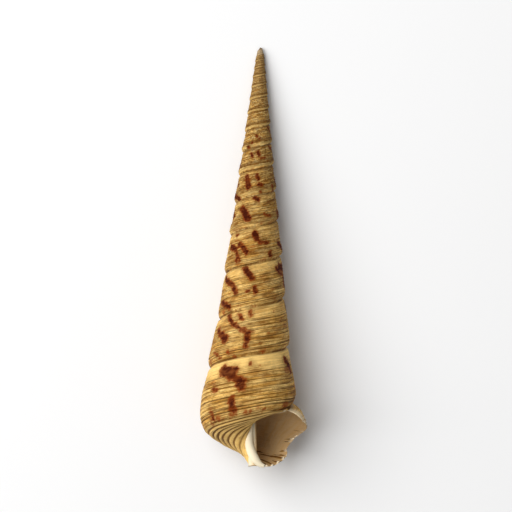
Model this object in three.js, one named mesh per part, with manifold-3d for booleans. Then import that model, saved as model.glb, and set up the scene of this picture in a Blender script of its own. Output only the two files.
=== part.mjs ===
// A turret shell, lying on its side with its mouth up, in millimetres.
//
// The shell is one tube wound round a straight axis. Each turn is the turn before it, GROWTH times
// larger, so one outline serves them all. The shell's own frame has its origin at the point where the
// cone would end above the worn tip, +Z along the axis to that point, +X to the side where the mouth
// is, and -Y to the side that the mouth faces. A turn is counted from the mouth: 0 there, and less
// than 0 up the spire. A depth or radius on the outline is a ratio of the turn's size, which is the
// distance from the origin down to its seam.

import * as THREE from 'three';
import { mergeVertices } from 'three/addons/utils/BufferGeometryUtils.js';
import Module from 'manifold-3d';

// Driving dimensions
const GROWTH = 1.178;
const SEAM_AT_MOUTH = 100.8;
const TURNS = 16;
const FACETS_IN_TURN = 22;
const HOLLOW_TURNS = 6;
const TIP_DEPTH = 0.96;
const SEAM_RADIUS = 0.109;

// The flank runs from a turn's own seam down to the next seam or the rim of the base: how far along
// it a place is, and how far it stands out there from a straight line on an upper turn and the last.
const FLANK = [
  [0.11, 0.0073, 0.006],
  [0.25, 0.0099, 0.0111],
  [0.42, 0.0115, 0.018],
  [0.55, 0.0121, 0.0195],
  [0.74, 0.0126, 0.0185],
  [0.94, 0.0066, 0.0072],
];

// The base of the last turn from its rim to the axis: depth, radius.
const BASE = [
  [1.164, 0.1285],
  [1.177, 0.1125],
  [1.184, 0.096],
  [1.1925, 0.0625],
  [1.206, 0.027],
  [1.214, 0],
];

// The lip at the same places, from the seam over the flank and the base to the axis: depth, radius,
// and how far it stands past the mouth's plane in turns.
const LIP = [
  [1, 0.109, 0.066],
  [1.011, 0.132, 0.066],
  [1.028, 0.144, 0.05],
  [1.05, 0.1525, 0.01],
  [1.066, 0.1525, -0.02],
  [1.087, 0.142, -0.052],
  [1.115, 0.1256, -0.077],
  [1.124, 0.1205, -0.08],
  [1.137, 0.111, -0.058],
  [1.146, 0.103, -0.037],
  [1.163, 0.0672, -0.008],
  [1.165, 0.03, -0.002],
  [1.1615, 0, 0],
];
const RIM_COLUMN = 1 + FLANK.length;
const AXIS_COLUMN = LIP.length - 1;

// How the last turn leaves the rule of growth, by the turn where each change starts and ends: the
// seam climbs and stands wider up to the mouth, the flank swells, and the base gets its own rim.
const SEAM_CLIMB = 0.0125;
const SEAM_SPREAD = 0.075;
const CLIMB_START = -1.1;
const CLIMB_END = -0.6;
const DROP_START = -0.1;
const SWELL_START = -1.3;
const SWELL_END = -0.7;
const RIM_START = -1;
const RIM_END = -0.8;
const LIP_START = -0.34;
const FLARE_START = -0.28;
const FLARE_END = -0.04;
const LIP_BEND_START = -0.2;
const BESIDE_MOUTH_END = -0.7;

// The hollow is the outline of the tube, drawn in towards its middle.
const TUBE_MIDDLE = [1.095, 0.066];
const WALL_SHARE = 0.16;
const LIP_SHARE = 0.09;
const THINNING_START = -0.2;
const COLUMELLA_SHARE = 0.27;
const HOLLOW_PAST_MOUTH = 0.15;

// The columella is the pillar that the tube winds round: places on it as X across and depth in mm.
const COLUMELLA_LINE = [[0.2, 96], [0.1, 107], [0.6, 112], [1.7, 114.6], [3, 116]];
const COLUMELLA_RADII = [1.7, 1.6, 1.5, 1.4, 0.9];
const COLUMELLA_SIDES = 10;

// How the shell lies
const LYING_ROLL = -2.364;
const LYING_PITCH = 7.621;
const PLACE_ON_FLOOR = [-0.983, 61.683, -0.118];

const { lerp, smoothstep } = THREE.MathUtils;

function ramp(value, from, to) {
  return THREE.MathUtils.clamp((value - from) / (to - from), 0, 1);
}

// Depth and radius of the seam of a turn
function seam(turn) {
  const climbed = smoothstep(turn, CLIMB_START, CLIMB_END) * (1 - smoothstep(turn, DROP_START, 0));
  return [1 - SEAM_CLIMB * climbed, SEAM_RADIUS * (1 + SEAM_SPREAD * climbed)];
}

// Where the flank of a turn ends: at the next seam, and on the last turn at the rim of the base
function rim(turn) {
  const ownRim = smoothstep(turn, RIM_START, RIM_END);
  return seam(turn + 1).map((value, i) => lerp(value * GROWTH, BASE[0][i], ownRim));
}

// Depth and radius of a column of the outline on a turn, before the lip
function outline(turn, column) {
  if (column > RIM_COLUMN) {
    return BASE[column - RIM_COLUMN];
  }
  const [startDepth, startRadius] = seam(turn);
  const [endDepth, endRadius] = rim(turn);
  const ends = { 0: [0, 0, 0], [RIM_COLUMN]: [1, 0, 0] };
  const [along, bulge, lastBulge] = ends[column] ?? FLANK[column - 1];
  const swollen = lerp(bulge, lastBulge, smoothstep(turn, SWELL_START, SWELL_END));
  return [lerp(startDepth, endDepth, along), lerp(startRadius, endRadius, along) + swollen];
}

// The base a turn up from the mouth is pushed round with the end of the seam, and then recovers.
function besideMouth(turn) {
  return ramp(turn, LIP_BEND_START - 1, -1) * (1 - ramp(turn, -1, BESIDE_MOUTH_END));
}

// A place on a turn. The facets touch the round shell at their middles, so their corners stand proud.
function place(turn, depth, radius) {
  const size = SEAM_AT_MOUTH * GROWTH ** turn;
  const angle = 2 * Math.PI * turn;
  const across = (radius * size) / Math.cos(Math.PI / FACETS_IN_TURN);
  return new THREE.Vector3(across * Math.cos(angle), -across * Math.sin(angle), -depth * size);
}

// A point of the outline on a turn, with what is special about the lip
function onShell(turn, column) {
  const [depth, radius] = outline(turn, column);
  const [lipDepth, lipRadius, lipShift] = LIP[column];
  const nearLip = ramp(turn, LIP_START, 0) ** 1.5;
  const flared = smoothstep(turn, FLARE_START, FLARE_END);
  const pushed = column < RIM_COLUMN ? 0 : LIP[0][2] * besideMouth(turn);
  const bentTurn = turn + lipShift * ramp(turn, LIP_BEND_START, 0) + pushed;
  return place(bentTurn, lerp(depth, lipDepth, nearLip), lerp(radius, lipRadius, flared));
}

function fan(tip, loop) {
  return loop.slice(1).flatMap((point, i) => [tip, loop[i], point]);
}

function strip(first, second) {
  const triangles = [];
  for (let i = 0; i + 1 < first.length; i++) {
    triangles.push(first[i], second[i], second[i + 1]);
    triangles.push(first[i], second[i + 1], first[i + 1]);
  }
  return triangles;
}

// Rings of points joined into a closed tube, with a fan over each end.
function tube(rings) {
  const closed = rings.map((ring) => [...ring, ring[0]]);
  const middle = (ring) =>
    ring.reduce((sum, point) => sum.add(point), new THREE.Vector3()).divideScalar(ring.length);
  const sides = closed.slice(1).flatMap((ring, i) => strip(closed[i], ring));
  const start = fan(middle(rings[0]), closed[0]);
  const end = fan(middle(rings.at(-1)), closed.at(-1).toReversed());
  return [...sides, ...start, ...end];
}

// The shell as if it were solid: the coiled flank, the base of the last turn, the tip and the mouth.
function filledShell() {
  const last = TURNS * FACETS_IN_TURN;
  const turnOf = (row) => row / FACETS_IN_TURN - TURNS;
  const point = (row, column) => {
    const joinsNextTurn = column === RIM_COLUMN && row + FACETS_IN_TURN <= last;
    return joinsNextTurn
      ? onShell(turnOf(row + FACETS_IN_TURN), 0)
      : onShell(turnOf(row), column);
  };
  const columns = (from, to) => Array.from({ length: to - from + 1 }, (_, i) => from + i);
  const rowOf = (row, from, to) => columns(from, to).map((column) => point(row, column));
  const triangles = [];
  for (let row = 0; row < last; row++) {
    const reach = row < last - FACETS_IN_TURN ? RIM_COLUMN : AXIS_COLUMN;
    triangles.push(...strip(rowOf(row, 0, reach), rowOf(row + 1, 0, reach)));
  }
  const firstRow = rowOf(0, 0, RIM_COLUMN);
  const firstSeam = columns(0, FACETS_IN_TURN).map((row) => point(row, 0)).toReversed();
  triangles.push(...fan(place(-TURNS, TIP_DEPTH, 0), [...firstRow, ...firstSeam.slice(1)]));
  const axis = columns(last - FACETS_IN_TURN, last).map((row) => point(row, AXIS_COLUMN));
  const lip = rowOf(last, 0, AXIS_COLUMN);
  const palate = rowOf(last - FACETS_IN_TURN, RIM_COLUMN, AXIS_COLUMN);
  const mouth = [...palate, ...axis.slice(1), ...lip.toReversed().slice(1)];
  triangles.push(...fan(place(0, ...TUBE_MIDDLE), mouth));
  return triangles;
}

// One ring of the hollow: the outline of this turn, closed by the base of the turn above it.
function hollowRing(turn) {
  const middle = place(turn, ...TUBE_MIDDLE);
  const wallShare = lerp(WALL_SHARE, LIP_SHARE, ramp(turn, THINNING_START, 0));
  const drawnIn = (onTurn, column) => {
    const share = column === AXIS_COLUMN ? COLUMELLA_SHARE : wallShare;
    return onShell(onTurn, column).lerp(middle, share);
  };
  const wall = LIP.map((_, column) => drawnIn(turn, column));
  const roof = BASE.slice(1).map((_, i) => drawnIn(turn - 1, AXIS_COLUMN - i));
  return [...wall, ...roof];
}

function hollow() {
  const rings = [];
  const steps = Math.round((HOLLOW_TURNS + HOLLOW_PAST_MOUTH) * FACETS_IN_TURN);
  for (let i = 0; i <= steps; i++) {
    rings.push(hollowRing(i / FACETS_IN_TURN - HOLLOW_TURNS));
  }
  return tube(rings);
}

function columella() {
  const ring = ([across, depth], radius) =>
    Array.from({ length: COLUMELLA_SIDES }, (_, i) => {
      const angle = (2 * Math.PI * i) / COLUMELLA_SIDES;
      return new THREE.Vector3(
        across + radius * Math.cos(angle),
        radius * Math.sin(angle),
        -depth,
      );
    });
  return tube(COLUMELLA_LINE.map((place, i) => ring(place, COLUMELLA_RADII[i])));
}

function geometryOf(triangles) {
  const geometry = new THREE.BufferGeometry().setFromPoints(triangles);
  return mergeVertices(geometry, 1e-4);
}

const wasm = await Module();
wasm.setup();

function solid(triangles) {
  const geometry = geometryOf(triangles);
  return new wasm.Manifold(new wasm.Mesh({
    numProp: 3,
    vertProperties: new Float32Array(geometry.attributes.position.array),
    triVerts: new Uint32Array(geometry.index.array),
  }));
}

function shellGeometry() {
  const body = solid(filledShell()).add(solid(columella())).subtract(solid(hollow()));
  const mesh = body.getMesh();
  const geometry = new THREE.BufferGeometry();
  geometry.setAttribute('position', new THREE.BufferAttribute(mesh.vertProperties, 3));
  geometry.setIndex(new THREE.BufferAttribute(mesh.triVerts, 1));
  geometry.computeVertexNormals();
  return geometry;
}

const shell = new THREE.Mesh(
  shellGeometry(),
  new THREE.MeshStandardMaterial({ color: 0xc9a062, roughness: 0.5, metalness: 0 }),
);
shell.name = 'shell';
shell.rotation.z = THREE.MathUtils.degToRad(LYING_ROLL);

const lying = new THREE.Group();
lying.add(shell);
lying.rotation.x = THREE.MathUtils.degToRad(-90 - LYING_PITCH);
lying.position.set(...PLACE_ON_FLOOR);

const part = new THREE.Group();
part.add(lying);

export default part;
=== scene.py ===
# %% [markdown]
# # A turret shell, lying on its side
#
# This notebook builds one long, pointed sea shell. A snail's shell is a tube wound round a straight
# axis. Each turn of the tube is the turn before it, a little larger, so one outline, repeated while
# it grows, gives the whole spire.

# %% The frame and the box of the CAD shell
import math

import bmesh
import bpy
import numpy as np
from mathutils import Matrix, Vector


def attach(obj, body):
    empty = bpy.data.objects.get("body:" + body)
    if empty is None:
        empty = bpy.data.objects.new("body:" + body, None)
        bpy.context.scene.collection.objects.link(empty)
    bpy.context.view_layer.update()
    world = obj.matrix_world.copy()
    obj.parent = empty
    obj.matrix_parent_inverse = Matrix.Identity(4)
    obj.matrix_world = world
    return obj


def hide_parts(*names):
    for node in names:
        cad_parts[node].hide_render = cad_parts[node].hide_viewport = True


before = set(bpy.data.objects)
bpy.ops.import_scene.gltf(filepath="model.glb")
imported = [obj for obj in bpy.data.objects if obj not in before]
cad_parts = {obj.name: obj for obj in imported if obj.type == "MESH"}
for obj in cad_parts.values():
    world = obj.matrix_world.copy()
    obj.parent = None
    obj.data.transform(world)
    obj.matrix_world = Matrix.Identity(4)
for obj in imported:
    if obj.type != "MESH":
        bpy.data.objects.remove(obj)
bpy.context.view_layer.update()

# %% [markdown]
# ## The rule of growth
#
# A turn is counted from the mouth: 0 there, and less than 0 up the spire. The size of a turn is the
# distance from the point where the cone would end down to its seam. It grows by the same share each
# turn, which is why a shell looks alike at every size. We keep the shell upright while we build it,
# with its axis on Z, and lay it down at the end.

# %% The rule of growth
GROWTH = 1.178
SEAM_AT_MOUTH = 100.8  # mm
TURNS = 16


def size_at(turn):
    return SEAM_AT_MOUTH * GROWTH ** turn


def place(turn, depth, radius):
    """Points on the shell in mm, from a turn, a depth and a radius, both as shares of its size."""
    size = size_at(turn)
    angle = 2 * math.pi * turn
    across = radius * size
    return np.stack([across * np.cos(angle), -across * np.sin(angle), -depth * size], axis=-1)


print("turns from", round(float(size_at(-TURNS)), 1), "to", SEAM_AT_MOUTH, "mm")

# %% [markdown]
# ## Uneven growth
#
# A real shell is never perfectly regular. A small value noise, made from a seeded table of random
# numbers that is smoothed in between, makes the cords wander and the wall swell a little. It's
# written here with numpy because it moves the mesh itself, so the relief is real geometry.

# %% Noise for the mesh
NOISE_CELLS = 64
LAYER_SHIFT = (17.3, 7.7)  # how far each layer of noise lies from the one before
NOISE_TABLE = np.random.default_rng(12).uniform(-1, 1, (NOISE_CELLS, NOISE_CELLS))


def noise(x, y, layer=0):
    """Smooth noise between -1 and 1. x runs along the spiral and y across the whorl."""
    x, y = np.broadcast_arrays(np.asarray(x, float) + LAYER_SHIFT[0] * layer,
                               np.asarray(y, float) + LAYER_SHIFT[1] * layer)
    column, row = np.floor(x).astype(int), np.floor(y).astype(int)
    u, v = x - column, y - row
    u, v = u * u * (3 - 2 * u), v * v * (3 - 2 * v)
    pick = lambda i, j: NOISE_TABLE[(row + j) % NOISE_CELLS, (column + i) % NOISE_CELLS]
    top = pick(0, 0) * (1 - u) + pick(1, 0) * u
    low = pick(0, 1) * (1 - u) + pick(1, 1) * u
    return top * (1 - v) + low * v


print("noise ranges over", round(float(NOISE_TABLE.min()), 2), round(float(NOISE_TABLE.max()), 2))

# %% [markdown]
# ## The outline of a whorl
#
# Seen from the side, a whorl runs from its own seam down to the next seam, nearly flat, with a small
# swelling. We describe it as a straight line between the two seams plus a bulge. That way two whorls
# always meet in one line, even where the last turn leaves the rule: there the seam climbs a little,
# the whorl swells, and the base and the flared lip have outlines of their own.
#
# "Across" says where a point is on the whorl: 0 at its seam, 1 at the next seam or the rim of the
# base, and 2 where the base reaches the central pillar, the columella. The tables are short lists of
# points measured on the real outline, and a smooth curve goes through them.

# %% Outlines of the whorls, the base and the lip
# across, how far the whorl swells out
BULGE = [(0, 0), (0.034, 0.0042), (0.11, 0.0073), (0.25, 0.0099), (0.42, 0.0115), (0.59, 0.0122),
         (0.74, 0.0126), (0.85, 0.0115), (0.94, 0.0066), (1, 0)]
LAST_BULGE = [(0, 0), (0.034, 0.003), (0.11, 0.006), (0.25, 0.0111), (0.42, 0.018), (0.59, 0.0197),
              (0.74, 0.0185), (0.85, 0.0145), (0.94, 0.0072), (1, 0)]
# the small upper whorls stand out more above their seams
STEP = [(0, 0), (0.3, -0.0015), (0.6, 0.0005), (0.78, 0.0048), (0.88, 0.0068), (0.94, 0.0058), (1, 0)]
# where the last whorl begins, one turn behind the mouth
SHOULDER = [(0, 0), (0.4, -0.002), (0.6, 0), (0.8, 0.004), (0.9, 0.003), (1, 0)]

# across, depth, radius
BASE = [(1, 1.164, 0.1285), (1.1, 1.174, 0.1185), (1.2, 1.18, 0.1065), (1.33, 1.185, 0.093),
        (1.47, 1.189, 0.078), (1.62, 1.193, 0.06), (1.76, 1.199, 0.042), (1.88, 1.206, 0.027),
        (2, 1.214, 0.013)]
LIP = [(0, 1, 0.109), (0.034, 1.004, 0.118), (0.11, 1.011, 0.132), (0.25, 1.028, 0.144),
       (0.42, 1.05, 0.1525), (0.55, 1.066, 0.1525), (0.74, 1.087, 0.142), (0.85, 1.102, 0.1325),
       (0.94, 1.115, 0.1256), (1, 1.124, 0.1205), (1.15, 1.137, 0.111), (1.3, 1.146, 0.103),
       (1.45, 1.155, 0.0855), (1.6, 1.163, 0.0672), (1.75, 1.166, 0.0483), (1.88, 1.165, 0.03),
       (2, 1.1615, 0.0177)]


def along(points, across, column=1):
    """Reads a column of a list of points at each place across, on a smooth curve through them."""
    points = np.array(points, float)
    x, y = points[:, 0], points[:, column]
    steps = np.diff(x)
    slopes = np.diff(y) / steps
    inner = (slopes[:-1] * steps[1:] + slopes[1:] * steps[:-1]) / (steps[1:] + steps[:-1])
    tangent = np.concatenate([slopes[:1], inner, slopes[-1:]])
    across = np.clip(across, x[0], x[-1])
    i = np.clip(np.searchsorted(x, across, side="right") - 1, 0, len(steps) - 1)
    h = steps[i]
    s = (across - x[i]) / h
    return ((1 + 2 * s) * (1 - s) ** 2 * y[i] + s * (1 - s) ** 2 * h * tangent[i]
            + s * s * (3 - 2 * s) * y[i + 1] + s * s * (s - 1) * h * tangent[i + 1])


print("lip's widest radius", max(r for _, _, r in LIP) * SEAM_AT_MOUTH, "mm")

# %% [markdown]
# The seam of each turn is where two whorls meet. A turn before the mouth it starts to climb, as it
# does on the real shell when the animal builds its lip. Each change comes on smoothly, over a stretch
# of turns that has a name here.

# %% The seam between two whorls
SEAM_RADIUS = 0.109
SEAM_CLIMB = 0.0125
SEAM_SPREAD = 0.075
SEAM_WANDER = 0.0022
SEAM_CLIMBS = (-1.1, -0.6)
SEAM_COMES_BACK = (-0.1, 0)
SEAM_STEADIES = (-0.5, -0.1)


def ramp(value, start, end):
    return np.clip((value - start) / (end - start), 0, 1)


def smooth_ramp(value, start, end):
    share = ramp(value, start, end)
    return share * share * (3 - 2 * share)


def seam(turn):
    """Depth and radius of the seam of a turn."""
    climbed = smooth_ramp(turn, *SEAM_CLIMBS) * (1 - smooth_ramp(turn, *SEAM_COMES_BACK))
    wander = SEAM_WANDER * noise(turn * 5, 0, 9) * (1 - smooth_ramp(turn, *SEAM_STEADIES))
    return 1 - SEAM_CLIMB * climbed + wander, SEAM_RADIUS * (1 + SEAM_SPREAD * climbed)


print("seam at the mouth", [round(float(share), 3) for share in seam(0.0)])

# %% [markdown]
# One function now gives the whole outline. It blends the ordinary whorl into the last one, puts the
# base under the last turn, and opens the last third of a turn into the lip.

# %% The outline at any turn
LAST_TURN_SWELLS = (-1.3, -0.7)
OWN_RIM = (-1.0, -0.8)  # from here on the whorl ends at the rim of the base, not at a seam
STEPS_SHOW = (2.5, 4.5)  # turns up the spire
SHOULDER_REACH = 0.3
BASE_BLEND = 0.5  # how far down the base its rim still follows the seam
LIP_DROPS = (-0.34, 0)
LIP_FLARES = (-0.28, -0.04)
WORN_TIP = 0.75


def outline(turn, across):
    """Depth and radius of a point of the whorl or of the base, as shares of the size of its turn."""
    top_depth, top_radius = seam(turn)
    next_depth, next_radius = seam(turn + 1)
    last = smooth_ramp(turn, *LAST_TURN_SWELLS)
    own_rim = smooth_ramp(turn, *OWN_RIM)
    end_depth = GROWTH * next_depth * (1 - own_rim) + BASE[0][1] * own_rim
    end_radius = GROWTH * next_radius * (1 - own_rim) + BASE[0][2] * own_rim
    w = np.clip(across, 0, 1)
    bulge = along(BULGE, w) * (1 - last) + along(LAST_BULGE, w) * last
    bulge = bulge + along(STEP, w) * smooth_ramp(-turn, *STEPS_SHOW)
    bulge = bulge + along(SHOULDER, w) * (1 - np.clip(np.abs(turn + 1) / SHOULDER_REACH, 0, 1))
    depth = top_depth * (1 - w) + end_depth * w
    radius = top_radius * (1 - w) + end_radius * w + bulge
    below = across > 1
    down_base = 1 + BASE_BLEND
    grown = (down_base - np.clip(across, 1, down_base)) / BASE_BLEND * (1 - own_rim)
    depth = np.where(below, along(BASE, across) + grown * (end_depth - BASE[0][1]), depth)
    radius = np.where(below, along(BASE, across, 2) + grown * (end_radius - BASE[0][2]), radius)
    near_lip = ramp(turn, *LIP_DROPS) ** 1.5
    flared = smooth_ramp(turn, *LIP_FLARES)
    depth = depth + near_lip * (along(LIP, across) - depth)
    radius = radius + flared * (along(LIP, across, 2) - radius)
    rounded = WORN_TIP + (1 - WORN_TIP) * smooth_ramp(turn, -TURNS, -TURNS + 1)
    return depth, radius * rounded


print("middle of the lip", [round(float(share), 4) for share in outline(0.0, 0.5)])

# %% [markdown]
# The lip's edge isn't straight. It bends forward at the seam and back further down, and its thin
# edge is chipped. Both are done by moving a point along the spiral, to another turn.

# %% The bent and chipped edge of the lip
# across, how far the lip's edge stands past the mouth's plane in turns
LIP_SHIFT = [(0, 0.066), (0.11, 0.066), (0.25, 0.05), (0.55, -0.02), (0.85, -0.07), (1, -0.08),
             (1.2, -0.05), (1.5, -0.01), (2, 0)]
LIP_BENDS = (-0.2, 0)
CHIP_DEPTH = 0.007  # turns
CHIPS_REACH = (-0.03, 0)
CHIPS_START = (0.15, 0.4)  # across


def turn_of_growth(turn, across):
    """The turn where a point really is: the lip's edge is bent, and pushes the base beside it."""
    beside = ramp(turn, -1.2, -1) * (1 - ramp(turn, -1, -0.7))
    pushed = np.where(across >= 1, LIP_SHIFT[0][1] * beside, 0)
    chipped = CHIP_DEPTH * np.clip(noise(across * 13, 5, 6) + 0.3 * noise(across * 40, 5, 7), 0, 1)
    chipped = chipped * smooth_ramp(across, *CHIPS_START) * ramp(turn, *CHIPS_REACH)
    return turn + along(LIP_SHIFT, across) * ramp(turn, *LIP_BENDS) + pushed - chipped


print("the lip reaches from turn", min(s for _, s in LIP_SHIFT), "to", max(s for _, s in LIP_SHIFT))

# %% [markdown]
# ## Spiral cords and grooves
#
# Fine flat cords run round every whorl, parted by narrow grooves, and the base carries broader ones.
# The columns of the mesh are placed on them: each groove gets a column at its middle and one at each
# edge, and each cord one on its top. So a narrow groove costs only four columns and stays crisp.

# %% Where the grooves are
# across, strength
GROOVES = [(0.06, 0.35), (0.125, 0.3), (0.2, 0.35), (0.28, 0.8), (0.345, 0.5), (0.415, 0.65),
           (0.485, 0.5), (0.56, 0.6), (0.645, 0.9), (0.71, 0.3), (0.775, 0.35), (0.845, 1), (0.895, 0.8)]
BASE_GROOVES = [(1.1, 0.9), (1.23, 1), (1.36, 1), (1.49, 1), (1.62, 0.9), (1.75, 0.8), (1.88, 0.6)]
HALF_WIDTH = 0.011
BASE_HALF_WIDTH = 0.034
EDGE_SHARE = 0.2  # how deep the edge of a groove is, so that the cords are crowned


def columns_for(grooves, half_width, start, end):
    """Places across for the columns of the mesh, and how deep the grooves are at each."""
    places, depths = [start], [0.0]
    middles = [g for g, _ in grooves]
    for i, (middle, strength) in enumerate(grooves):
        places += [middle - half_width, middle, middle + half_width]
        depths += [EDGE_SHARE * strength, strength, EDGE_SHARE * strength]
        after = middles[i + 1] if i + 1 < len(grooves) else end
        places.append((middle + after) / 2)
        depths.append(0.0)
    places += [end - half_width, end]
    depths += [0.0, 0.0]
    return np.array(places), np.array(depths)


WHORL_COLUMNS, WHORL_GROOVES = columns_for(GROOVES, HALF_WIDTH, 0.0, 1.0)
BASE_COLUMNS, BASE_GROOVE_DEPTHS = columns_for(BASE_GROOVES, BASE_HALF_WIDTH, 1.0, 2.0)
print(len(WHORL_COLUMNS), "columns on a whorl and", len(BASE_COLUMNS), "on the base")

# %% [markdown]
# ## The relief
#
# All relief is pressed inward, so that nothing stands proud of the outline. Grooves part the cords,
# slanting growth lines cross them, and the wall swells a little here and there. Towards the tip the
# grooves get deeper for their size, and wear has broken the cords up into beads. At each seam the
# relief gives way to the suture, a groove of its own.

# %% How far the surface is pressed in
# all depths are shares of the turn's size
GROOVE_DEPTH = 0.0044
BASE_GROOVE_DEPTH = 0.0075
GROWTH_LINE_DEPTHS = (0.0005, 0.0009)
BEAD_DEPTH = 0.0045
RIB_DEPTH = 0.0014
SWELL_DEPTH = 0.0016
SKIN_DEPTH = 0.0012
SUTURE_DEPTH = 0.0046
RIM_DEPTH = 0.003
BEADS_SHOW = (5, 9)  # turns up the spire
CORDS_DEEPEN = (2, 5)  # turns up the spire
SUTURES_IN_WHORL = 18  # how many times the width of a suture goes into a whorl
RELIEF_OF_RIM = (-1.0, -0.9)


def relief(turn, across, groove):
    """How far the surface is pressed in, as a share of the turn's size."""
    deepened = smooth_ramp(-turn, *CORDS_DEEPEN)
    depth = np.where(across > 1, BASE_GROOVE_DEPTH, GROOVE_DEPTH) * (1 + 1.2 * deepened)
    uneven = 0.75 + 0.5 * noise(turn * 6, across * 9, 1) + 0.3 * noise(turn * 25, across * 14, 8)
    cut = groove * depth * np.clip(uneven, 0.1, 1.3)
    slanted = turn * 55 + across * 2.2
    lines = GROWTH_LINE_DEPTHS[0] * noise(slanted, across * 3, 2)
    lines = lines + GROWTH_LINE_DEPTHS[1] * noise(slanted / 3, across * 2, 3)
    beads = smooth_ramp(-turn, *BEADS_SHOW) * BEAD_DEPTH * np.clip(noise(turn * 24, across * 9, 4), 0, 1)
    ribs = RIB_DEPTH * deepened * (1 + noise(across * 11, turn * 0.6, 11))
    swell = SWELL_DEPTH * (1 + noise(turn * 7, across * 2.5, 5))
    pressed = cut + beads + ribs + swell + lines + SKIN_DEPTH
    from_edge = np.clip(np.minimum(across, np.abs(1 - across)) * SUTURES_IN_WHORL, 0, 1)
    own_rim = smooth_ramp(turn, *RELIEF_OF_RIM) * (across > 0.5)
    at_edge = SUTURE_DEPTH * (1 + 0.5 * deepened) * (1 - own_rim) + RIM_DEPTH * own_rim
    return pressed * from_edge + at_edge * (1 - from_edge)


print("a groove at the mouth is", round(GROOVE_DEPTH * SEAM_AT_MOUTH, 2), "mm deep")

# %% [markdown]
# ## The outer surface as a grid of points
#
# A row of the grid runs across the whorl, and the rows follow each other along the spiral. The
# direction in which the relief presses is square to the outline, which we get from the outline a
# little further on and a little back.

# %% Points of the outer surface
ROWS_IN_TURN = 128
LAST_ROW = TURNS * ROWS_IN_TURN
OUTLINE_STEP = 0.004
GROOVE_WANDER = 0.008


def surface(turn, across, groove):
    """Points of the outer surface in mm, with its relief pressed in along the outline's normal."""
    depth, radius = outline(turn, across)
    depth_on, radius_on = outline(turn, across + OUTLINE_STEP)
    depth_back, radius_back = outline(turn, across - OUTLINE_STEP)
    run, rise = depth_on - depth_back, radius_on - radius_back
    length = np.hypot(run, rise) + 1e-9
    pressed = relief(turn, across, groove)
    depth = depth + pressed * rise / length
    radius = radius - pressed * run / length
    return place(turn_of_growth(turn, across), depth, np.maximum(radius, 0.001))


def grid(turns, columns, grooves):
    """Turn, place across and groove for a grid of points. The grooves wander a little."""
    turn, across = np.meshgrid(turns, columns, indexing="ij")
    start, end = columns[0], columns[-1]
    freedom = np.clip(np.minimum(across - start, end - across) * 12, 0, 1)
    across = across + GROOVE_WANDER * (end - start) * freedom * noise(turn * 4, across * 7, 10)
    groove = np.broadcast_to(grooves, turn.shape)
    return turn, across, groove


row_turns = np.arange(LAST_ROW + 1) / ROWS_IN_TURN - TURNS
whorl_turn, whorl_across, whorl_groove = grid(row_turns, WHORL_COLUMNS, WHORL_GROOVES)
whorl_points = surface(whorl_turn, whorl_across, whorl_groove)
print("whorl grid", whorl_points.shape)

# %% [markdown]
# ## The hollow tube and the lip
#
# Behind the lip the tube goes on round inside the shell. Its wall follows the outer surface, a wall's
# thickness in, and its ceiling is the base of the turn above it. The lip itself is thin, the wall
# gets thicker further in, and a little over two turns close off every view into the mouth.

# %% Points of the hollow
HOLLOW_TURNS = 2.2
LIP_THICKNESS = 0.0042
WALL_THICKNESS = 0.013
WALL_THICKENS = (0, 0.35)  # turns behind the lip
ROOF_SHARE = 0.6  # of the wall's thickness
FURTHEST_IN = 0.6  # of the way to the middle of the tube
TUBE_MIDDLE = (1.095, 0.066)

hollow_rows = np.arange(int(HOLLOW_TURNS * ROWS_IN_TURN) + 1)
hollow_turns = -hollow_rows / ROWS_IN_TURN
HOLLOW_OUTER = np.array([0.045, 0.08, 0.13, 0.19, 0.26, 0.33, 0.41, 0.5, 0.58, 0.66, 0.74, 0.81, 0.87, 0.92,
                         0.97, 1.03, 1.1, 1.18, 1.26, 1.34, 1.42, 1.5, 1.58, 1.66, 1.74, 1.82, 1.9, 1.97])
HOLLOW_CEILING = np.array([1.97, 1.9, 1.82, 1.74, 1.66, 1.58, 1.5, 1.42, 1.34, 1.26, 1.18, 1.1, 1.04])


def drawn_in(points, middle, thickness):
    inward = middle - points
    length = np.linalg.norm(inward, axis=-1, keepdims=True)
    return points + inward / length * np.minimum(thickness, FURTHEST_IN * length)


def hollow_ring(turns):
    """Rings of the hollow, from the seam round the outer wall to the columella and back."""
    turn, across = np.meshgrid(turns, HOLLOW_OUTER, indexing="ij")
    depth, radius = outline(turn, across)
    outer = place(turn_of_growth(turn, across), depth, radius)
    up, ceiling_across = np.meshgrid(turns - 1, HOLLOW_CEILING, indexing="ij")
    depth, radius = outline(up, ceiling_across)
    ceiling = place(turn_of_growth(up, ceiling_across), depth, radius)
    size = size_at(turns)[:, None, None]
    thickness = LIP_THICKNESS + (WALL_THICKNESS - LIP_THICKNESS) * smooth_ramp(-turns, *WALL_THICKENS)
    middle = place(turns, *TUBE_MIDDLE)[:, None, :]
    wall = drawn_in(outer, middle, thickness[:, None, None] * size)
    roof = drawn_in(ceiling, middle, ROOF_SHARE * thickness[:, None, None] * size)
    return np.concatenate([wall, roof], axis=1)


hollow_points = hollow_ring(hollow_turns)
print("hollow grid", hollow_points.shape)

# %% [markdown]
# ## Blotches
#
# Brown blotches lie slantwise on the whorls, where the animal laid pigment down as it grew. Each one
# is a short brush stroke: places given by turn and across, and a half width. They could be painted on
# a picture, but strokes in the shell's own terms stay sharp at any size and follow the spiral.

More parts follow.
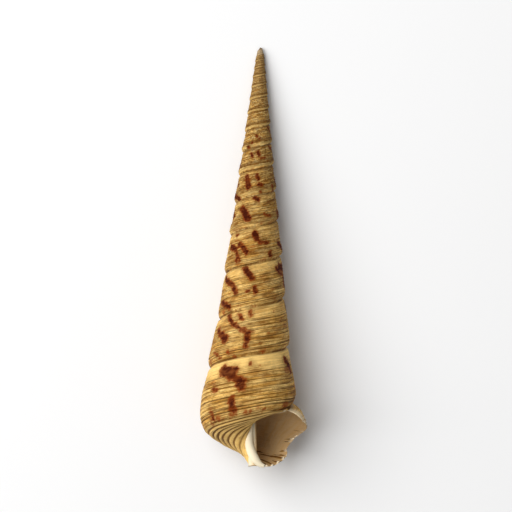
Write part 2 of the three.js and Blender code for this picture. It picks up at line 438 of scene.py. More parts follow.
# %% Brush strokes of pigment on the side that shows
# each: half width in whorl heights, then (turn, across) places
STROKES = [
    (0.085, (-0.642, 0.17), (-0.665, 0.2), (-0.683, 0.3)),
    (0.06, (-0.665, 0.2), (-0.69, 0.2)),
    (0.06, (-0.683, 0.3), (-0.705, 0.38), (-0.725, 0.43)),
    (0.05, (-0.712, 0.45), (-0.722, 0.54)),
    (0.045, (-0.618, 0.44), (-0.624, 0.46)),
    (0.03, (-0.75, 0.13), (-0.753, 0.15)),
    (0.05, (-0.69, 0.68), (-0.692, 0.88)),
    (0.035, (-0.605, 0.8), (-0.607, 0.94)),
    (0.05, (-1.572, 0.31), (-1.6, 0.4)),
    (0.075, (-1.607, 0.43), (-1.628, 0.52), (-1.636, 0.58)),
    (0.045, (-1.62, 0), (-1.64, 0.16), (-1.663, 0.27)),
    (0.04, (-1.663, 0.27), (-1.693, 0.38), (-1.72, 0.46)),
    (0.055, (-1.735, 0.53), (-1.732, 0.66)),
    (0.035, (-1.732, 0.66), (-1.726, 0.84)),
    (0.03, (-1.683, 0.07), (-1.707, 0.23)),
    (0.04, (-1.739, 0.09), (-1.743, 0.16)),
    (0.03, (-1.582, 0.78), (-1.612, 0.92)),
    (0.03, (-1.655, 0.83), (-1.658, 0.88)),
    (0.055, (-2.562, 0.16), (-2.593, 0.26), (-2.637, 0.4)),
    (0.055, (-2.637, 0.4), (-2.66, 0.58)),
    (0.06, (-2.563, 0.69), (-2.587, 0.765), (-2.625, 0.87)),
    (0.07, (-2.695, 0.02), (-2.712, 0.14), (-2.742, 0.32)),
    (0.035, (-2.718, 0.6), (-2.728, 0.61)),
    (0.05, (-2.755, 0.56), (-2.763, 0.66)),
    (0.075, (-3.582, 0.4), (-3.61, 0.45), (-3.63, 0.5)),
    (0.065, (-3.654, 0.39), (-3.68, 0.5), (-3.705, 0.64)),
    (0.085, (-3.75, 0.18), (-3.765, 0.32)),
    (0.04, (-3.765, 0.34), (-3.785, 0.47), (-3.838, 0.5)),
    (0.035, (-3.638, 0.6), (-3.65, 0.7), (-3.645, 0.85)),
    (0.035, (-3.65, 0.7), (-3.666, 0.84)),
    (0.035, (-3.62, 0.12), (-3.627, 0.13)),
    (0.05, (-3.843, 0.76), (-3.846, 0.86)),
    (0.1, (-4.64, 0.33), (-4.67, 0.45)),
    (0.11, (-4.67, 0.5), (-4.7, 0.7)),
    (0.07, (-4.738, 0.06), (-4.77, 0.16)),
    (0.035, (-4.812, 0.64), (-4.86, 0.76)),
    (0.07, (-4.53, 0.4), (-4.55, 0.48)),
    (0.11, (-5.66, 0.24), (-5.672, 0.45), (-5.685, 0.62)),
    (0.07, (-5.752, 0.26), (-5.768, 0.4)),
    (0.075, (-5.772, 0.6), (-5.79, 0.63)),
    (0.04, (-5.782, 0.9), (-5.793, 0.9)),
    (0.06, (-5.549, 0.41), (-5.549, 0.45)),
    (0.07, (-6.686, 0.27), (-6.7, 0.4)),
    (0.08, (-6.756, 0.25), (-6.772, 0.4)),
    (0.035, (-6.785, 0.55), (-6.835, 0.57)),
    (0.07, (-7.737, 0.44), (-7.744, 0.48)),
    (0.05, (-7.772, 0.6), (-7.776, 0.6)),
    (0.07, (-7.638, 0.92), (-7.655, 0.92)),
    (0.05, (-7.687, 0.74), (-7.688, 0.78)),
]
print(len(STROKES), "strokes on the side that shows")

# %% [markdown]
# The other sides get strokes of the same kind, from a seeded random draw. The small worn whorls at
# the tip have none, on the real shell as well.

# %% Strokes on the other sides
SHOWING = (0.53, 0.86)  # the share of each turn that the camera sees well
BLOTCHED_WHORLS = 9
FULL_WHORLS = 7  # the ones above these have fewer strokes
STROKES_TO_DRAW = (9, 4)
DRAWN_WIDTHS = [0.035, 0.05, 0.07, 0.09]
LOWEST_STROKE = 0.97  # across


def hidden_strokes(rng):
    """Strokes of the same kind for the sides that the strokes above leave bare."""
    made = []
    for whorl in range(BLOTCHED_WHORLS):
        for _ in range(STROKES_TO_DRAW[0] if whorl < FULL_WHORLS else STROKES_TO_DRAW[1]):
            turn = -whorl - rng.uniform(0, 1)
            if SHOWING[0] < (-turn) % 1 < SHOWING[1]:
                continue
            start = rng.uniform(0.05, 0.8)
            fall = rng.uniform(0.08, 0.4)
            slant = rng.uniform(0.01, 0.1)
            width = rng.choice(DRAWN_WIDTHS)
            middle = (turn - slant / 2, start + fall * rng.uniform(0.3, 0.7))
            end = (turn - slant, min(start + fall, LOWEST_STROKE))
            made.append((width, (turn, start), middle, end))
    return made


strokes = STROKES + hidden_strokes(np.random.default_rng(8))
print(len(strokes), "strokes in all")

# %% [markdown]
# For every point of the mesh we work out how deep inside the nearest stroke it lies. The shader later
# cuts that smooth field at a wavering level, which gives ragged edges however coarse the mesh is.

# %% How deep each point lies in the pigment
ACROSS_PER_TURN = 4.59  # how many whorl heights long a turn is
BARE = -1.0  # the value far from any stroke


def pigment(turn, across):
    """How far inside a stroke each point is, in whorl heights: above 0 inside, below 0 outside."""
    x, y = turn * ACROSS_PER_TURN, across
    best = np.full(turn.shape, BARE)
    for width, *places in strokes:
        for (t0, a0), (t1, a1) in zip(places, places[1:]):
            near = (x > min(t0, t1) * ACROSS_PER_TURN - 1) & (x < max(t0, t1) * ACROSS_PER_TURN + 1)
            x0, x1 = t0 * ACROSS_PER_TURN, t1 * ACROSS_PER_TURN
            length = (x1 - x0) ** 2 + (a1 - a0) ** 2
            share = np.clip(((x[near] - x0) * (x1 - x0) + (y[near] - a0) * (a1 - a0)) / length, 0, 1)
            gap = np.hypot(x[near] - x0 - share * (x1 - x0), y[near] - a0 - share * (a1 - a0))
            best[near] = np.maximum(best[near], width - gap)
    return best


whorl_pigment = pigment(whorl_turn, whorl_across)
print("share of the whorls under strokes:", round(float((whorl_pigment > 0).mean()), 3))

# %% [markdown]
# ## One closed skin
#
# The outer surface, the lip's rim and the hollow are stitched into one closed skin, as the real shell
# is one piece. Whorls share the vertices of their seam: a whorl's last column is the first column of
# the turn below it. The axis closes the base in the middle.

# %% Number the points of the whorls and the base
points = []


def add_points(new_points):
    """Adds a grid of points to the mesh, and gives back the grid of their vertex numbers."""
    first = sum(len(block) for block in points)
    points.append(new_points.reshape(-1, 3))
    return first + np.arange(new_points.shape[0] * new_points.shape[1]).reshape(new_points.shape[:2])


whorl_index = add_points(whorl_points)
ends = whorl_index[:, -1]
ends[:LAST_ROW + 1 - ROWS_IN_TURN] = whorl_index[ROWS_IN_TURN:, 0]

base_rows = np.arange(LAST_ROW - ROWS_IN_TURN, LAST_ROW + 1)
base_turn, base_across, base_groove = grid(row_turns[base_rows], BASE_COLUMNS, BASE_GROOVE_DEPTHS)
base_index = add_points(surface(base_turn, base_across, base_groove))
base_index[:, 0] = ends[base_rows]
base_pigment = pigment(base_turn, base_across)

axis_turn = row_turns[base_rows][:, None]
axis_depth = outline(axis_turn, np.full(axis_turn.shape, 2.0))[0]
axis_index = add_points(place(axis_turn, axis_depth, np.zeros(axis_turn.shape)))
base_index = np.concatenate([base_index, axis_index], axis=1)
base_turn, base_across, base_groove, base_pigment = (
    np.concatenate([layer, layer[:, -1:]], axis=1)
    for layer in (base_turn, base_across, base_groove, base_pigment))
print("whorls", whorl_index.shape, "base", base_index.shape)

# %% [markdown]
# What the shader needs to know is stored on the corners of the faces, because a seam belongs to two
# whorls and so has two values. Every corner is a row of six numbers: vertex, turn, across, groove,
# pigment and side. The small upper whorls use every second column.

# %% Faces of the whorls and the base
VERTEX = 0  # places in a corner's row
SIDE = 5
OUTSIDE, ON_RIM, WITHIN = 0, 0.5, 1
FINE_TURNS = 4
FINE_ROW = LAST_ROW - FINE_TURNS * ROWS_IN_TURN


def stack(*layers):
    return np.stack([np.broadcast_to(layer, layers[0].shape).astype(float) for layer in layers], axis=-1)


def quads(data):
    """Faces of a grid, each with four corners."""
    return np.stack([data[:-1, :-1], data[1:, :-1], data[1:, 1:], data[:-1, 1:]], axis=2).reshape(
        -1, 4, data.shape[-1])


whorl_data = stack(whorl_index, whorl_turn, whorl_across, whorl_groove, whorl_pigment, OUTSIDE)
base_data = stack(base_index, base_turn, base_across, base_groove, base_pigment, OUTSIDE)
faces = [quads(whorl_data[FINE_ROW:]), quads(base_data), quads(whorl_data[:FINE_ROW:, ::2])]
print(sum(len(block) for block in faces), "faces on the whorls and the base")

# %% [markdown]
# The row where the fine columns begin needs faces with five corners: two on the coarse side and
# three on the fine side. They are flat enough here, and leave no gaps.

# %% Faces between coarse and fine columns, and the hollow
coarse = whorl_data[FINE_ROW - 1, ::2]
fine = whorl_data[FINE_ROW]
between = [np.stack([coarse[i], fine[2 * i], fine[2 * i + 1], fine[2 * i + 2], coarse[i + 1]])
           for i in range(len(coarse) - 1)]

hollow_index = add_points(hollow_points)
ring_across = np.concatenate([HOLLOW_OUTER, HOLLOW_CEILING])
hollow_turn, hollow_across = np.meshgrid(hollow_turns, ring_across, indexing="ij")
hollow_data = stack(hollow_index, hollow_turn, hollow_across, 0, BARE, WITHIN)
closed_hollow = np.concatenate([hollow_data, hollow_data[:, :1]], axis=1)
faces.append(quads(closed_hollow))
print(len(between), "faces between coarse and fine,", len(faces[-1]), "in the hollow")

# %% [markdown]
# The rim of the mouth joins two lines with different numbers of points: the edge of the outer
# surface and the first ring of the hollow. We close it as a zip does, always taking the next tooth
# on the side that has come less far.

# %% The rim of the mouth
TIP_DEPTH = 0.961
tip = add_points(place(np.array([[-float(TURNS)]]), np.array([[TIP_DEPTH]]), np.array([[0.0]])))[0, 0]
all_points = np.concatenate(points)


def zipped(outer, inner):
    """Triangles between two lines of corners with different numbers of points."""
    length = lambda line: np.concatenate([[0], np.cumsum(np.linalg.norm(
        np.diff(all_points[line[:, VERTEX].astype(int)], axis=0), axis=1))])
    along_outer, along_inner = length(outer), length(inner)
    along_outer, along_inner = along_outer / along_outer[-1], along_inner / along_inner[-1]
    made, i, j = [], 0, 0
    while i + 1 < len(outer) or j + 1 < len(inner):
        step_outer = j + 1 == len(inner) or (
            i + 1 < len(outer) and along_outer[i + 1] <= along_inner[j + 1])
        if step_outer:
            made.append(np.stack([outer[i], outer[i + 1], inner[j]]))
            i += 1
        else:
            made.append(np.stack([outer[i], inner[j + 1], inner[j]]))
            j += 1
    return made


outer_count = len(HOLLOW_OUTER)
lip_ring = hollow_data[0, :outer_count]
roof_ring = hollow_data[0, outer_count:]
lip_edge = np.concatenate([whorl_data[-1], base_data[-1][1:-1]])
columella_edge = np.concatenate([base_data[-1][-2:-1], base_data[::-1][:, -1], base_data[0][-2:-1]])
base_edge = base_data[0][::-1][1:]
rim = zipped(lip_edge, lip_ring)
rim += zipped(columella_edge, np.stack([lip_ring[-1], roof_ring[0]]))
rim += zipped(base_edge, np.concatenate([roof_ring, lip_ring[:1]]))
for face in rim:
    face[:, SIDE] = np.where(face[:, SIDE] == OUTSIDE, ON_RIM, face[:, SIDE])
print(len(rim), "faces on the rim")

# %% [markdown]
# Two holes are left, at the tip and at the far end of the hollow. A fan of triangles round one
# vertex closes each. Both are small, and the second can't be seen.

# %% The tip and the end of the hollow


def fan(middle, line):
    """Triangles from one vertex to each pair along a line of corners."""
    centre = line[0].copy()
    centre[VERTEX] = middle
    return [np.stack([line[i], line[i + 1], centre]) for i in range(len(line) - 1)]


first_seam = whorl_data[:ROWS_IN_TURN + 1, 0]
tip_edge = np.concatenate([whorl_data[0, ::2], first_seam[::-1][1:]])
hollow_end = np.array([[all_points[closed_hollow[-1, :-1, VERTEX].astype(int)].mean(axis=0)]])
hollow_end_index = add_points(hollow_end)[0, 0]
rim += fan(tip, tip_edge) + fan(hollow_end_index, closed_hollow[-1])
print(len(rim), "faces on the rim, at the tip and at the hollow's end")

# %% [markdown]
# ## The columella
#
# The columella is the pillar that the tube winds round. Only its lower end shows, as a white band
# beside the mouth that bends over towards the lip. It's a tapered tube of rings, a closed skin of its
# own in the same mesh. Its upper end is sunk into the shell, and its lower end lies on the edge of
# the lip, where a small cap closes it in plain sight.

# %% Points of the columella
# across the axis, depth and radius in mm
COLUMELLA = [(-0.15, 104.0, 1.0), (-0.15, 107.1, 1.05), (-0.13, 109.2, 1.08), (0.03, 111.3, 1.12),
             (0.7, 113.4, 1.2), (1.7, 115.2, 1.15), (3.0, 116.5, 0.75), (4.2, 117.0, 0.45)]
COLUMELLA_RINGS = 44
COLUMELLA_SIDES = 28


def columella_points():
    keys = [(i, *key) for i, key in enumerate(COLUMELLA)]
    at = np.linspace(0, len(COLUMELLA) - 1, COLUMELLA_RINGS)
    across, depth, radius = (along(keys, at, column) for column in (1, 2, 3))
    centres = np.stack([across, np.zeros_like(across), -depth], axis=-1)
    heading = np.gradient(centres, axis=0)
    heading /= np.linalg.norm(heading, axis=1, keepdims=True)
    front = np.array([0.0, -1.0, 0.0])
    side = np.cross(heading, front)
    angle = 2 * math.pi * np.arange(COLUMELLA_SIDES) / COLUMELLA_SIDES
    reach = radius[:, None, None]
    return (centres[:, None] + reach * np.cos(angle)[None, :, None] * side[:, None]
            + reach * np.sin(angle)[None, :, None] * front)


pillar_index = add_points(columella_points())
pillar_index = np.concatenate([pillar_index, pillar_index[:, :1]], axis=1)
pillar_data = stack(pillar_index, 0, 2, 0, BARE, ON_RIM)
faces.append(quads(pillar_data))
all_points = np.concatenate(points)
for edge in (pillar_data[0], pillar_data[-1]):
    end = add_points(all_points[edge[:-1, VERTEX].astype(int)].mean(axis=0)[None, None])[0, 0]
    rim += fan(end, edge)
print("columella", COLUMELLA_RINGS, "rings")

# %% [markdown]
# ## Lay the shell down
#
# The shell can't stand on its mouth, so it lies on its side with the mouth up and the tip pointing to
# +Y. A cone rests on its side, so the axis tips down a few degrees towards the tip. The numbers are
# those of the CAD model, which rests on the floor this way.

# %% From mm in the shell's own frame to metres on the floor
LYING_ROLL = -2.364
LYING_PITCH = 7.621
PLACE_ON_FLOOR = (-0.983, 61.683, -0.118)

lie_down = (Matrix.Scale(0.001, 4) @ Matrix.Translation(PLACE_ON_FLOOR)
            @ Matrix.Rotation(math.radians(-90 - LYING_PITCH), 4, "X")
            @ Matrix.Rotation(math.radians(LYING_ROLL), 4, "Z"))
to_floor = np.array(lie_down)
all_points = np.concatenate(points) @ to_floor[:3, :3].T + to_floor[:3, 3]
print("lowest point", all_points[:, 2].min() * 1000, "mm")

# %% [markdown]
# ## The mesh
#
# The faces become a Blender mesh. Turn, across and side go into one vector attribute on the corners,
# and the groove and the pigment into two more. The faces were made in several runs, so Blender turns
# them all to face outward, and we count the edges that don't have two faces: a closed mesh has none.

# %% Build the mesh


def build_mesh(name):
    loops = [*np.concatenate(faces), *between, *rim]
    mesh = bpy.data.meshes.new(name)
    mesh.from_pydata(all_points.tolist(), [], [face[:, VERTEX].astype(int).tolist() for face in loops])
    data = np.concatenate(loops)
    growth = mesh.attributes.new("growth", "FLOAT_VECTOR", "CORNER")
    growth.data.foreach_set("vector", np.ascontiguousarray(data[:, [1, 2, SIDE]], np.float32).ravel())
    for layer, column in (("groove", 3), ("pigment", 4)):
        values = mesh.attributes.new(layer, "FLOAT", "CORNER")
        values.data.foreach_set("value", np.ascontiguousarray(data[:, column], np.float32))
    return mesh


mesh = build_mesh("turret_shell")
skin = bmesh.new()
skin.from_mesh(mesh)
bmesh.ops.recalc_face_normals(skin, faces=skin.faces)
open_edges = sum(1 for edge in skin.edges if len(edge.link_faces) != 2)
skin.to_mesh(mesh)
skin.free()
mesh.shade_smooth()
shell = bpy.data.objects.new("turret_shell", mesh)
bpy.context.scene.collection.objects.link(shell)
triangles = sum(len(face.vertices) - 2 for face in mesh.polygons)
print(triangles, "triangles; edges without two faces:", open_edges)

# %% [markdown]
# ## Shader maths as expressions
#
# A material is a graph of nodes. Written out node by node, even a small sum is hard to read, so this
# class wraps a socket and lets us write maths with plain operators. A second class holds the graph,
# and its one method for making a node takes the settings first and then the sockets.

# %% A small wrapper for node sockets
class Value:
    def __init__(self, graph, socket):
        self.graph = graph
        self.socket = socket

    def math(self, operation, *others):
        return self.graph.node("ShaderNodeMath", {"operation": operation},
                               {i: value for i, value in enumerate((self, *others))})

    def __add__(self, other):
        return self.math("ADD", other)

    def __radd__(self, other):
        return self.math("ADD", other)

    def __sub__(self, other):
        return self.math("SUBTRACT", other)

    def __rsub__(self, other):
        return self.math("MULTIPLY_ADD", -1, other)

    def __mul__(self, other):
        return self.math("MULTIPLY", other)

    def __rmul__(self, other):
        return self.math("MULTIPLY", other)

    def step(self, start, end):
        """0 below start, 1 above end, and smooth in between."""
        return self.graph.node("ShaderNodeMapRange", {"interpolation_type": "SMOOTHSTEP"},
                               {"Value": self, "From Min": start, "From Max": end})

    def largest(self, other):
        return self.math("MAXIMUM", other)


class Graph:
    def __init__(self, name):
        self.material = bpy.data.materials.new(name)
        self.material.use_nodes = True
        self.tree = self.material.node_tree
        self.shader = self.tree.nodes["Principled BSDF"]

    def node(self, kind, settings, inputs, output=0):
        made = self.tree.nodes.new(kind)
        for name, value in settings.items():
            setattr(made, name, value)
        for name, value in inputs.items():
            self.set(made.inputs[name], value)
        return Value(self, made.outputs[output])

    def set(self, socket, value):
        if isinstance(value, Value):
            self.tree.links.new(value.socket, socket)
        else:
            socket.default_value = value

    def mix(self, factor, first, second):
        """A colour between two colours."""
        return self.node("ShaderNodeMix", {"data_type": "RGBA"}, {0: factor, 6: first, 7: second}, 2)

    def attribute(self, name, output="Fac"):
        return self.node("ShaderNodeAttribute", {"attribute_name": name}, {}, output)

    def noise(self, vector, scale, detail, roughness):
        return self.node("ShaderNodeTexNoise", {},
                         {"Vector": vector, "Scale": scale, "Detail": detail, "Roughness": roughness})

    def vector(self, x, y, z=0.0):
        return self.node("ShaderNodeCombineXYZ", {}, {0: x, 1: y, 2: z})


finish = Graph("shell_finish")
print("the shell's finish starts with", len(finish.tree.nodes), "nodes")

# %% [markdown]
# ## The colours
#
# A dry turret shell is a warm tan, with browns that run from rust to nearly black. They're given as
# everyday screen colours, and one function turns each into the linear light that a shader wants.

# %% Colours of the shell


def colour(red, green, blue):
    """Linear light from screen numbers of 0 to 255."""
    linear = lambda c: c / 12.92 if c <= 0.04045 else ((c + 0.055) / 1.055) ** 2.4
    return (*(linear(c / 255) for c in (red, green, blue)), 1)


TAN = colour(200, 147, 66)
# Light tan for streaks and pale zones, and for the painted highlight on the ridges.
LIGHT_TAN = colour(246, 206, 126)
DEEP_TAN = colour(148, 94, 30)
GREEN_GREY = colour(112, 96, 42)
PALE = colour(212, 186, 126)
TIP_TAN = colour(168, 138, 88)
# Brown for thin lines, mottling and halos, and for the painted shade on the upper whorls.
LINE_BROWN = colour(92, 54, 12)
# Dark brown painted into the grooves, and as a painted shade along each seam.
GROOVE_DARK = colour(56, 26, 3)
# Lighter brown for the base's broad grooves, a painted shade between its ribs.
BASE_GROOVE_SHADE = colour(104, 58, 12)
RUST = colour(142, 60, 12)
PIGMENT = colour(60, 13, 1)
PIGMENT_RIM = colour(138, 54, 8)
CREAM = colour(240, 226, 196)
LINING = colour(206, 172, 124)
print("tan in linear light", [round(part, 3) for part in TAN])

# %% [markdown]
# ## The ground colour
#
# The animal laid its pigment down along the growing edge, so the colours follow the spiral. We read
# the noise at turn and across, not in plain space: stretched along the turn it makes streaks, and
# slanted it makes growth lines. Patches of pale and of rust lie over them, and a fine green-grey
# speckle that follows no direction is grime. Masks say where a change applies: "upward" is 0 on the
# last two turns and 1 high on the spire.

# %% Streaks, growth lines and patches
SPECKLES_PER_METRE = 1300.0

growth = finish.attribute("growth", "Vector")
turn, across, inside = (finish.node("ShaderNodeSeparateXYZ", {}, {0: growth}, i) for i in range(3))
up_spire = turn * -1
upward = up_spire.step(2, 7)
on_base = across.step(1.0, 1.04)


def spiral_noise(in_turn, in_whorl, detail=3.0, roughness=0.6, layer=0.0):
    """Noise with so many patches in a turn, and so many from seam to seam."""
    return finish.noise(finish.vector(turn * in_turn, across * in_whorl, layer), 1.0, detail, roughness)


streaks = spiral_noise(5, 14, detail=4.0)
broad = spiral_noise(9, 5, detail=4.0)
patches = spiral_noise(17, 5, roughness=0.5, layer=3.0)
growth_lines = finish.noise(finish.vector(turn * 60 + across * 2.4, across * 2.5), 1.0, 3.0, 0.6)
in_space = finish.node("ShaderNodeTexCoord", {}, {}, "Object")
speckle = finish.noise(in_space, SPECKLES_PER_METRE, 3.0, 0.6)

ground = finish.mix(streaks.step(0.35, 0.7), TAN, LIGHT_TAN)
ground = finish.mix(broad.step(0.47, 0.66) * 0.75, ground, DEEP_TAN)
ground = finish.mix(growth_lines.step(0.5, 0.8) * 0.35, ground, DEEP_TAN)
ground = finish.mix(speckle.step(0.5, 0.68) * 0.38 * (1 - on_base), ground, GREEN_GREY)
ground = finish.mix(patches.step(0.54, 0.62) * (upward * 0.5 + 0.15), ground, PALE)
ground = finish.mix((1 - patches.step(0.32, 0.4)) * 0.5, ground, RUST)
print(len(finish.tree.nodes), "nodes with streaks and patches")

# %% [markdown]
# High on the spire the shell is worn. The tan fades towards the tip, single cords are dark or pale,
# and small brown dots mottle the beads.

# %% Worn cords and mottling
tip_share = up_spire.step(9, 13)
ground = finish.mix(tip_share * 0.6, ground, TIP_TAN)
cords = spiral_noise(2.5, 20, detail=2.0, roughness=0.5, layer=8.0)
ground = finish.mix(cords.step(0.5, 0.6) * upward * 0.45, ground, LINE_BROWN)
ground = finish.mix((1 - cords.step(0.36, 0.46)) * upward * 0.6, ground, PALE)
mottle = spiral_noise(34, 16, detail=4.0, roughness=0.65, layer=6.0)
ground = finish.mix(mottle.step(0.49, 0.57) * (upward * 0.42 + 0.28), ground, LINE_BROWN)
print(len(finish.tree.nodes), "nodes with worn cords")

# %% [markdown]
# Right under each seam the lower whorls are plain and pale, most of all on the last turn, and so is
# the base. Thin brown lines run round everywhere else. On the upper whorls the ridge above each
# seam is painted light, a painted highlight, and the hollows beside it get a painted shade.

# %% Pale zones, thin lines, and the painted highlight and shade of the ridges
pale_zone = (1 - (across + (broad - 0.5) * 0.3).step(0.08, 0.38)) * (1 - upward)
toward_front = turn.step(-1.3, -0.9) * 0.45 - turn.step(-0.55, -0.35) * 0.45
under = pale_zone * (toward_front + 0.4) + on_base * 0.7
ground = finish.mix(under * 0.92, ground, LIGHT_TAN)
fine_lines = spiral_noise(7, 60)
line_share = (upward * 0.15 + 0.7) * (1 - under * 0.85)
ground = finish.mix(fine_lines.step(0.5, 0.58) * line_share, ground, LINE_BROWN)
# Painted highlight: the ridge above each seam is painted lighter.
ridge_highlight = across.step(0.8, 0.85) * (1 - across.step(0.94, 0.975))
ground = finish.mix(ridge_highlight * (streaks * 0.9 + 0.1) * (upward * 0.75 + 0.1), ground, LIGHT_TAN)
# Painted shade: just under each seam and in the hollow above the ridge, the upper whorls are painted
# darker.
shaded = (1 - across.step(0.02, 0.13)) + across.step(0.55, 0.74) * (1 - across.step(0.76, 0.84))
ground = finish.mix(shaded * upward * 0.65, ground, LINE_BROWN)
# The very tip is painted cream: partly the pale of the worn tip, partly a painted highlight on its rounded
# end.
tip_end = up_spire.step(14.6, 15.8)
ground = finish.mix(tip_end * 0.25, ground, CREAM)
print(len(finish.tree.nodes), "nodes in the ground colour")

# %% [markdown]
# ## Grooves, seams and rust
#
# The grooves are painted dark brown, and noise breaks it up so that it isn't even. The base
# has broad soft grooves in a lighter brown, a painted shade between its ribs, and the narrow ones up
# the spire are cut crisper. A rusty band lies in places just above the seams and round the rim of the
# base, and a dark line, a painted shade in the suture, marks every seam.

# %% Dark grooves, the rusty band and the painted shade of the seam line
groove = finish.attribute("groove")
broken = spiral_noise(22, 30).step(0.3, 0.62)
wide = groove.step(0.12, 0.7)
crisp = wide + (groove.step(0.55, 0.95) - wide) * upward
grooved = finish.mix(crisp * (broken * 0.6 + 0.35) * (1 - on_base * 0.6), ground, GROOVE_DARK)
# The base's broad grooves get a painted shade in a lighter brown.
grooved = finish.mix(groove.step(0.0, 0.8) * on_base * 0.85, grooved, BASE_GROOVE_SHADE)
band = across.step(0.84, 0.95) * (1 - across.step(1.0, 1.14))
rust_noise = spiral_noise(26, 6).step(0.48, 0.6)
rust_area = 1 - patches.step(0.44, 0.58)
grooved = finish.mix(band * rust_noise * rust_area * (0.85 - upward * 0.6), grooved, RUST)
# Painted shade: a dark line along every seam, in the suture.
before_seam = across.step(0.965, 1.0) * (1 - across.step(1.0, 1.02))
seam_shade = (1 - across.step(0.0, 0.035)).largest(before_seam)
grooved = finish.mix(seam_shade * (broken * 0.5 + 0.15), grooved, GROOVE_DARK)
print(len(finish.tree.nodes), "nodes with grooves and seams")

# %% [markdown]
# ## Blotches in the finish
#
# Noise shifts the field that we stored, so the level where we cut it wavers. A wide soft cut gives
# the brown rim and a tighter one the dark heart, which is patchy, and a faint halo surrounds them.
# Small specks come from noise alone.

# %% Blotches
pigment_depth = finish.attribute("pigment")
ragged = spiral_noise(52, 13, detail=4.0, roughness=0.65)
field = pigment_depth + 0.004 + (ragged - 0.5) * 0.17 - groove * 0.02
halo = field.step(-0.09, 0.0)
rim_share = field.step(-0.025, 0.012)
heart = field.step(-0.004, 0.035)
patchy = spiral_noise(26, 10, roughness=0.5, layer=9.0).step(0.3, 0.62)
marked = finish.mix(halo * 0.4, grooved, LINE_BROWN)
marked = finish.mix(rim_share * 0.8, marked, PIGMENT_RIM)
marked = finish.mix(heart * (patchy * 0.46 + 0.5), marked, PIGMENT)
specks = spiral_noise(30, 9, detail=2.0, roughness=0.5, layer=4.0).step(0.69, 0.76)
marked = finish.mix(specks * 0.55, marked, PIGMENT_RIM)
print(len(finish.tree.nodes), "nodes with blotches")

# %% [markdown]
# ## Lip, columella and inside
#
# The lip and the columella are cream, where the shell is freshly built, and the lining of the tube is
# a plain tan and smoother. The third number of the growth attribute says which side a face is on: 0
# outside, a half on the rim and the columella, and 1 inside. The shell is chalky, so it hardly
# reflects: the specular level is set low, once for the whole surface. Most relief is in the mesh, and
# the bump adds the finest of it: growth lines, streaks, grain and the thin brown lines.

# %% Put the finish together
CHALK_ROUGHNESS = 0.6
LOW_SHINE = 0.05
BUMP_STRENGTH = 0.5
BUMP_HEIGHT = 0.00035  # metres

lip_margin = turn.step(-0.045, -0.01) * 0.6
rim_colour = inside.step(0.05, 0.45).largest(lip_margin)
inner = inside.step(0.55, 0.95)
painted = finish.mix(rim_colour, marked, CREAM)
lined = finish.mix(growth_lines.step(0.4, 0.7) * 0.35, LINING, TAN)
painted = finish.mix(inner, painted, lined)
finish.set(finish.shader.inputs["Base Color"], painted)
roughness = CHALK_ROUGHNESS - 0.2 * inner + 0.1 * heart + (speckle - 0.5) * 0.2
finish.set(finish.shader.inputs["Roughness"], roughness)
finish.set(finish.shader.inputs["Specular IOR Level"], LOW_SHINE)

grain = spiral_noise(160, 60)
line_cuts = fine_lines.step(0.5, 0.6) * line_share * 0.4
height = growth_lines * 0.5 + grain * 0.4 + streaks * 0.4 - line_cuts
bump = finish.node("ShaderNodeBump", {},
                   {"Strength": BUMP_STRENGTH, "Distance": BUMP_HEIGHT, "Height": height})
finish.set(finish.shader.inputs["Normal"], bump)
shell.data.materials.append(finish.material)
print(len(finish.tree.nodes), "nodes in the shell's finish")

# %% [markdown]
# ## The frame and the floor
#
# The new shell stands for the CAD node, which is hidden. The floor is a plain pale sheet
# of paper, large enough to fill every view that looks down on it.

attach(shell, "root")
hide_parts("shell")

FLOOR_REACH = 3.0
PAPER_WHITE = 0.86

floor_corners = [(-FLOOR_REACH, -FLOOR_REACH, 0), (FLOOR_REACH, -FLOOR_REACH, 0),
                 (FLOOR_REACH, FLOOR_REACH, 0), (-FLOOR_REACH, FLOOR_REACH, 0)]
floor_mesh = bpy.data.meshes.new("floor")
floor_mesh.from_pydata(floor_corners, [], [(0, 1, 2, 3)])
floor = bpy.data.objects.new("floor", floor_mesh)
bpy.context.scene.collection.objects.link(floor)
paper = Graph("floor_paper")
paper.set(paper.shader.inputs["Base Color"], (PAPER_WHITE, PAPER_WHITE, PAPER_WHITE, 1))
paper.set(paper.shader.inputs["Roughness"], 0.9)
floor.data.materials.append(paper.material)
print("floor", 2 * FLOOR_REACH, "m wide")

# %% [markdown]
# ## The light
#
# One large lamp high on the left gives a soft shadow to the right. Its light comes in low enough to
# show the cords. A weak lamp from the mouth's side opens the shadows there, and the world adds a
# little from everywhere. The view transform is the plain one, because a film-like one would wash out
# the tan and the dark browns.

# %% Lamps and world
KEY_PLACE, KEY_SIZE, KEY_POWER = (-0.68, 0.32, 0.85), 1.2, 20
FILL_PLACE, FILL_SIZE, FILL_POWER = (0.1, -0.6, 1.0), 1.0, 1.2
WORLD_STRENGTH = 0.2


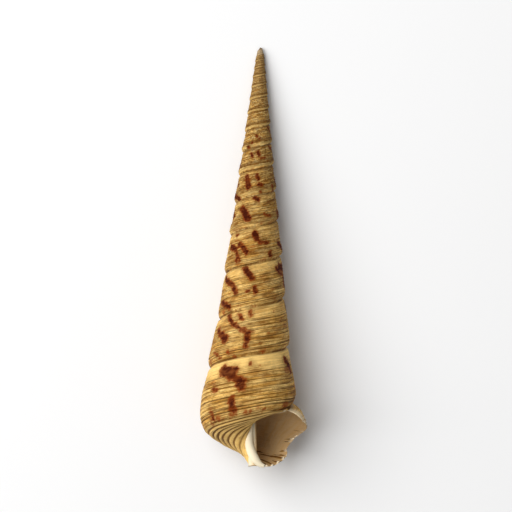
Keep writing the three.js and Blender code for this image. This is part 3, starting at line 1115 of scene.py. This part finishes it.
def area_light(name, location, size, power):
    """A square lamp that shines on the middle of the floor."""
    light = bpy.data.lights.new(name, "AREA")
    light.size = size
    light.energy = power
    lamp = bpy.data.objects.new(name, light)
    lamp.location = location
    lamp.rotation_euler = (-Vector(location)).to_track_quat("-Z", "Y").to_euler()
    bpy.context.scene.collection.objects.link(lamp)


area_light("key_light", KEY_PLACE, KEY_SIZE, KEY_POWER)
area_light("fill_light", FILL_PLACE, FILL_SIZE, FILL_POWER)
world = bpy.data.worlds.new("studio")
world.use_nodes = True
world.node_tree.nodes["Background"].inputs["Color"].default_value = (1, 1, 1, 1)
world.node_tree.nodes["Background"].inputs["Strength"].default_value = WORLD_STRENGTH
bpy.context.scene.world = world
bpy.context.scene.view_settings.view_transform = "Standard"
print("lamps of", KEY_POWER, "and", FILL_POWER, "watts")

# %% [markdown]
# ## The camera
#
# The camera looks down on the lying shell from far away with a long lens, so the cone keeps its
# proportions. Its place is worked out in the shell's own frame: in front of the mouth, a little below
# it, and leaning, because the tip points slightly to the right in the picture.

# %% Camera
CAMERA_DISTANCE = 1.2
VIEW_ROLL = -0.52  # degrees, as the next two
TILT_FROM_SHELL = 2.5
LEAN = 1.65
PICTURE_PIXELS = 512
MM_PER_PIXEL = 0.2625
AIM_DEPTH = 62.0  # mm down the axis
AIM_ASIDE = 0.42  # mm to the right
SIGHT = 20  # metres

turned = lie_down.to_3x3().normalized() @ Matrix.Rotation(math.radians(-VIEW_ROLL), 3, "Z")
seen = turned @ Matrix.Rotation(math.radians(TILT_FROM_SHELL), 3, "X") @ Matrix.Rotation(
    math.radians(-LEAN), 3, "Y")
camera_right, away, camera_up = seen.transposed()
toward_camera = -away
aim = lie_down @ Vector((0, 0, -AIM_DEPTH)) + camera_right * AIM_ASIDE / 1000
camera = bpy.data.objects.new("camera", bpy.data.cameras.new("camera"))
camera.matrix_world = Matrix.Translation(aim + toward_camera * CAMERA_DISTANCE) @ Matrix(
    (camera_right, camera_up, toward_camera)).transposed().to_4x4()
picture_width = PICTURE_PIXELS * MM_PER_PIXEL / 1000
camera.data.lens = camera.data.sensor_width * CAMERA_DISTANCE / picture_width
camera.data.clip_end = SIGHT
bpy.context.scene.collection.objects.link(camera)
bpy.context.scene.camera = camera
print("lens", camera.data.lens)
